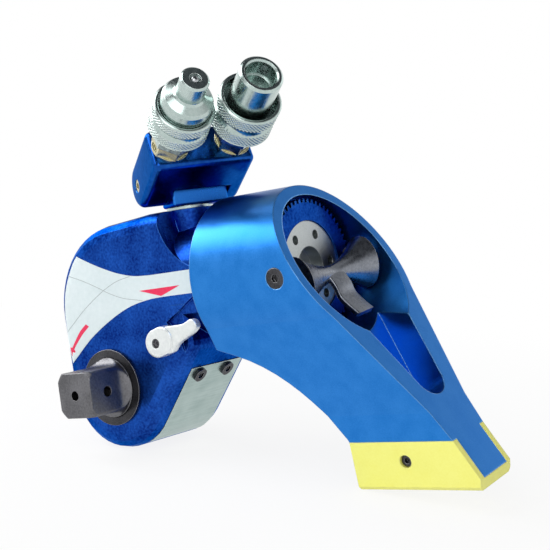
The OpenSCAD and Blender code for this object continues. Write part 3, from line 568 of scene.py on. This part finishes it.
# Satin nickel: pale, soft reflections, almost white under the lamps.
# Its lighter edge colour is a painted highlight.
lever_nickel = finish("satin_nickel_plate", "DEE3E2", "EEF1F0", 0.6, (0.28, 0.38), 2.2, 0.004, 0.3, "F6F8F8")
release_lever = shown("release_lever_casting", plate(lever_boss, -8.6, -0.6, 1.1, tool), lever_nickel,
                      "holding")
carve(release_lever, plate([p + Vector((lever_x, lever_z)) for p in lever_paddle], -7.6, -3.0, 1.0, tool), "UNION")
carve(release_lever, rod((lever_x, -12, lever_z), (lever_x, -5.9, lever_z), lever_screw_r, tool))
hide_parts("release_lever")

# Case cover. Stainless sheet bent round the bottom of the drive case and held by two screws. The
# brushing runs across the case and breaks its reflection into fine streaks.
# Its lighter edge colour is a painted highlight.
cover_sheet = finish("brushed_stainless_sheet", "9CB0AC", "B6C7C3", 1.0, (0.3, 0.42), 0.8, 0.006, 0.5,
                     "DCE6E3", (1, 0.04, 1))
dress(cover_sheet, "case_cover")

# Cylinder. The end cap is turned aluminium, clear anodised, screwed into the bore; piston and rod
# are ground steel, with rubber seals and a bronze guide bush.

# Clear anodising leaves the turned metal pale and a little dull.
# Its lighter edge colour is a painted highlight.
cap_alloy = finish("turned_clear_anodised_aluminium", "B4BABA", "C8CDCD", 1.0, (0.34, 0.46), 0.6, 0.005, 0.5,
                   "E0E3E3")
dress(cap_alloy, "end_cap")
dress(ground_steel, "piston", "piston_rod", "rod_head")
# Nitrile rubber is black and dull.
# Its lighter edge colour is a painted highlight.
rubber = finish("nitrile_rubber", "101010", "1C1C1C", 0.0, (0.5, 0.7), 0.8, 0.01, 0.2, "242424")
dress(rubber, "cap_seal", "rod_seal", "piston_seal", "post_seal_upper", "post_seal_lower")
# Cast bronze, turned, is warm and slightly uneven in colour.
# Its lighter edge colour is a painted highlight.
bronze = finish("turned_bearing_bronze", "A97C40", "C69856", 1.0, (0.28, 0.42), 1.0, 0.006, 0.3, "D9B478")
dress(bronze, "rod_bush")

# Reaction arm. Forged aluminium, milled all over and anodised a brighter satin blue. It slides on
# the splines of the cylinder and ends in a straight foot.

# The satin etch gives an even soft shine with a very fine grain, drawn coarser than it is. Its
# pale edge colour is a painted highlight along the rounded edges.
arm_blue = finish("satin_blue_anodised_aluminium", "2577CA", "3284D6", 1.0, (0.28, 0.38), 0.7, 0.008, 0.9,
                  "7FB6EA")
dress(arm_blue, "reaction_arm")

# Foot guard. A U-shaped shoe of moulded yellow polyurethane, screwed to the foot from both sides.
# The mould's corners are round; the small screw holes stay sharp.
guard_round = 0.0013
guard_long = 0.005
guard_bend = math.radians(20)
guard_mesh = frame["nodes"]["foot_guard"].data.copy()
guard_mesh.materials.clear()
guard_work = bmesh.new()
guard_work.from_mesh(guard_mesh)
bmesh.ops.remove_doubles(guard_work, verts=guard_work.verts, dist=1e-7)
bmesh.ops.dissolve_limit(guard_work, angle_limit=math.radians(1), verts=guard_work.verts,
                         edges=guard_work.edges)
guard_rims = [e for e in guard_work.edges if e.calc_length() > guard_long and e.is_manifold
              and e.calc_face_angle() > guard_bend and e.is_convex]
bmesh.ops.bevel(guard_work, geom=guard_rims, offset=guard_round, segments=4, profile=0.5, affect="EDGES",
                clamp_overlap=True)
guard_work.to_mesh(guard_mesh)
guard_work.free()

# The moulding is slightly waxy, with a faint orange-peel skin.
# Its paler edge colour is a painted highlight.
guard_yellow = finish("moulded_yellow_polyurethane", "F9F67A", "FDFB86", 0.0, (0.36, 0.5), 1.1, 0.02, 0.8,
                      "FBF9A0")
guard_shoe = shown("foot_guard_shoe", guard_mesh, guard_yellow, "arm")
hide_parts("foot_guard")

# Arm trigger. A waisted steel casting with a finger blade and a latch nose, on two pins through
# the sleeve. It is barrel finished and blackened, smoother than the drive.

# The arm's own axes: along the cylinder, across, up; they lean about the cylinder.
arm_lean = math.radians(6)
arm = tool @ Matrix.Translation((0, 30, 54)) @ Matrix.Rotation(arm_lean, 4, "X")
hub_x = 141.0
hub_z = -4.5
hub_half = 31.0
hub_waist = (3.4, 4.2)
hub_end = (10.6, 14.5)
hub_curve = 1.7
hub_steps = 24
pin_x = 137.3
pin_z = 1.7
pin_r = 3.6
# The back of the hub is cut flat to clear the end cap, and leans below the pin.
hub_back = 132.2
hub_back_lean = 0.2
hub_rings = []
for k in range(-hub_steps, hub_steps + 1):
    flare = (abs(k) / hub_steps) ** hub_curve
    wide, tall = (waist + (end - waist) * flare for waist, end in zip(hub_waist, hub_end))
    ring = []
    for right, up in circle(1, range(0, 360, 4)):
        z = hub_z + tall * up
        x = max(hub_x + wide * right, hub_back, hub_back + (pin_z - z) * hub_back_lean)
        ring.append((x, hub_half * k / hub_steps, z))
    hub_rings.append(ring)

# Tumbling and blackening leave a smooth dark grey with soft highlights.
# Its lighter edge colour is a painted highlight.
trigger_steel = finish("barrel_finished_black_steel", "70747C", "92969E", 1.0, (0.22, 0.34), 1.6, 0.006, 0.4,
                       "9A9CA0")
arm_trigger = shown("arm_trigger_casting", skin(hub_rings, arm), trigger_steel, "trigger")
blade_half = 1.5
blade_side = 7.4
blade_mid = run([(hub_x + x, hub_z + z) for x, z in ((1.0, 1.0), (5.4, -6.5), (8.0, -13.5), (16.6, -22.4))], 30)
blade_upper, blade_under = beside(blade_mid, blade_half)
carve(arm_trigger, plate(blade_upper + blade_under[::-1], -blade_side, blade_side, 0.9, arm), "UNION")
latch_tip = 125.4
latch_z = hub_z - 0.5
latch_r = 3.0
carve(arm_trigger, rod((latch_tip, 0, latch_z), (hub_x, 0, latch_z), latch_r, arm), "UNION")
for side in (-1, 1):
    carve(arm_trigger, rod((pin_x, side * 23.9, pin_z), (pin_x, side * 40, pin_z), pin_r, arm))
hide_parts("arm_trigger")
dress(ground_steel, "trigger_spring")

# Hose swivel. The lug turns on a steel post in the housing and the block tilts on the lug; both
# are aluminium with rounded edges, anodised blue.
tilt_joint = next(j for j in frame["joints"] if j["name"] == "swivel_tilt")
collar_joint = next(j for j in frame["joints"] if j["name"] == "male_collar_spin")
block_along = Vector(tilt_joint["axis"])
block_up = Vector(collar_joint["axis"])
tool_up = (tool.to_3x3() @ Vector((0, 0, 1))).normalized()


def stand_at(point, along, up):
    """Axes at a point in metres: X square to both, Y along, Z up; lengths in millimetres."""
    side = along.cross(up).normalized()
    return Matrix.Translation(point) @ Matrix((side, along, up)).transposed().to_4x4() @ Matrix.Scale(0.001, 4)


def bar_ring(radius, far, corner, inset, y):
    """Outline at y: a half round about the axis and a flat end at far, rounded at its corners."""
    way = 1 if far > 0 else -1
    half = radius - inset
    end = abs(far) - inset
    bend = max(0.05, corner - inset)
    bends = circle(bend, range(0, 91, 10))
    ring = [(x, y, way * z) for x, z in circle(half, range(180, 361, 6))]
    ring += [(half - bend + x, y, way * (end - bend + z)) for x, z in bends]
    ring += [(bend - half - z, y, way * (end - bend + x)) for x, z in bends]
    return ring


def bar(radius, far, corner, y0, y1, place):
    """Bar along Y with all its edges rounded."""
    turns = [math.radians(a) for a in range(0, 91, 10)]
    rings = [bar_ring(radius, far, corner, corner * (1 - math.sin(t)), y0 + corner * (1 - math.cos(t)))
             for t in turns]
    rings += [bar_ring(radius, far, corner, corner * (1 - math.cos(t)), y1 - corner * (1 - math.sin(t)))
              for t in turns]
    return skin(rings, place)


block_frame = stand_at(tilt_joint["pos_m"], block_along, block_up)
lug_frame = stand_at(tilt_joint["pos_m"], block_along, tool_up)
block_r = 12.5
block_top = 36.8
block_half = 29.0
lug_mid = 4.0
lug_half = 16.5
slot_half = 16.9
slot_top = 11.5
plug_r = 3.85
plug_from = 26.0
# Past every face, so that a cut goes right through.
beyond_all = 40.0

# Polished anodising keeps dark mirror-like faces; the bright lines along the rounded edges are a painted highlight
# in the edge colour.
block_blue = finish("polished_blue_anodised_aluminium", "113E8E", "1D58AC", 1.0, (0.16, 0.26), 2.5, 0.004, 0.6,
                    "4C90DC", glance="B4CCEE")
swivel_block = shown("swivel_block_body", bar(block_r, block_top, 3.6, -block_half, block_half, block_frame),
                     block_blue, "manifold")
carve(swivel_block, box((-beyond_all, beyond_all), (lug_mid - slot_half, lug_mid + slot_half),
                        (-beyond_all, slot_top), block_frame))
for side in (-1, 1):
    carve(swivel_block, rod((0, side * beyond_all, 0), (0, side * plug_from, 0), plug_r, block_frame))
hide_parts("swivel_block")

# The lug is only etched, so it is lighter and has softer reflections than the block; its paler
# edge colour is a painted highlight.
lug_blue = finish("fine_satin_blue_anodised_aluminium", "236CC8", "2E7AD6", 1.0, (0.26, 0.36), 1.0, 0.002, 0.3,
                  "5C9AE0", glance="6FA8F0")
swivel_lug = shown("swivel_lug_body", bar(10.5, -14.3, 1.4, lug_mid - lug_half, lug_mid + lug_half, lug_frame),
                   lug_blue, "swivel_base")
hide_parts("swivel_lug")
dress(ground_steel, "swivel_post", "pivot_shaft")

# Hose couplers. Screw-type couplers of turned steel, bright zinc plated, on hexagon adapters with
# a yellow passivate; the grip rings are knurled in two bands with a smooth groove between.

# Yellow passivate is a thin, patchy straw tint over zinc.
# Its lighter edge colour is a painted highlight.
passivate = finish("yellow_passivated_zinc", "C6BF98", "D8D3B4", 1.0, (0.16, 0.28), 1.8, 0.006, 0.4, "E2DDBE")
dress(passivate, "male_adapter", "female_adapter", "pivot_plugs")
# Bright zinc is a slightly green, near-mirror grey with faint clouds.
# Its lighter edge colour is a painted highlight.
zinc = finish("bright_zinc_plate", "ADBEBA", "C2D0CC", 1.0, (0.17, 0.29), 1.6, 0.006, 0.5, "E6EEEC")
dress(zinc, "male_coupler", "female_coupler", "post_ring")
dress(ground_steel, "male_poppet", "female_poppet")


def grip_ring(name, node, joint, outer, inner, well, body):
    """Knurled ring in the place of a node, turned about its joint's axis."""
    spin = next(j for j in frame["joints"] if j["name"] == joint)
    axis = Vector(spin["axis"])
    centre = Vector(spin["pos_m"])
    heights = [(v.co - centre).dot(axis) for v in frame["nodes"][node].data.vertices]
    low = min(heights) * 1000
    tall = max(heights) * 1000 - low
    place = stand_at(centre + axis * (low / 1000), block_along, axis)
    pitch = 2.0
    knurl_deep = 0.75
    teeth = round(2 * math.pi * outer / pitch)
    steps = teeth * 8
    groove = outer - 1.5
    chamfer = 1.2
    band_edge = 1.0
    rows = 22
    low_end = tall * 0.38
    high_start = tall * 0.64
    high_long = tall * 0.36
    knurled = ((chamfer, low_end), (high_start, tall - chamfer))
    profile = [(inner, 0.0), (outer - chamfer, 0.0), (outer - chamfer / 2, 0.4)]
    profile += [(outer, band_edge + s * (low_end - band_edge) / rows) for s in range(rows + 1)]
    profile += [(groove + 0.5, tall * 0.42), (groove, tall * 0.46), (groove, tall * 0.56),
                (groove + 0.5, tall * 0.6)]
    profile += [(outer, high_start + s * (high_long - band_edge) / rows) for s in range(rows + 1)]
    profile += [(outer - chamfer / 2, tall - 0.4), (outer - chamfer, tall), (outer - 2.2, tall),
                (outer - 2.4, tall - 0.3), (outer - 2.4, tall - well), (inner, tall - well)]
    rings = []
    for r, z in profile:
        ring = []
        for k in range(steps):
            turn = k / steps
            sink = 0.0
            if r == outer and any(a <= z <= b for a, b in knurled):
                one = (turn * teeth + z / pitch) % 1.0
                two = (turn * teeth - z / pitch) % 1.0
                sink = knurl_deep * max(abs(2 * one - 1), abs(2 * two - 1)) ** 2
            a = 2 * math.pi * turn
            ring.append(((r - sink) * math.cos(a), (r - sink) * math.sin(a), z))
        rings.append(ring)
    rings.append(rings[0])
    made = shown(name, skin(rings, place, False), zinc, body, 40)
    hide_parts(node)


grip_ring("male_grip_ring", "male_collar", "male_collar_spin", 16.4, 13.5, 1.0, "male_ring")
grip_ring("female_grip_ring", "female_collar", "female_collar_spin", 17.0, 12.1, 11.0, "female_ring")
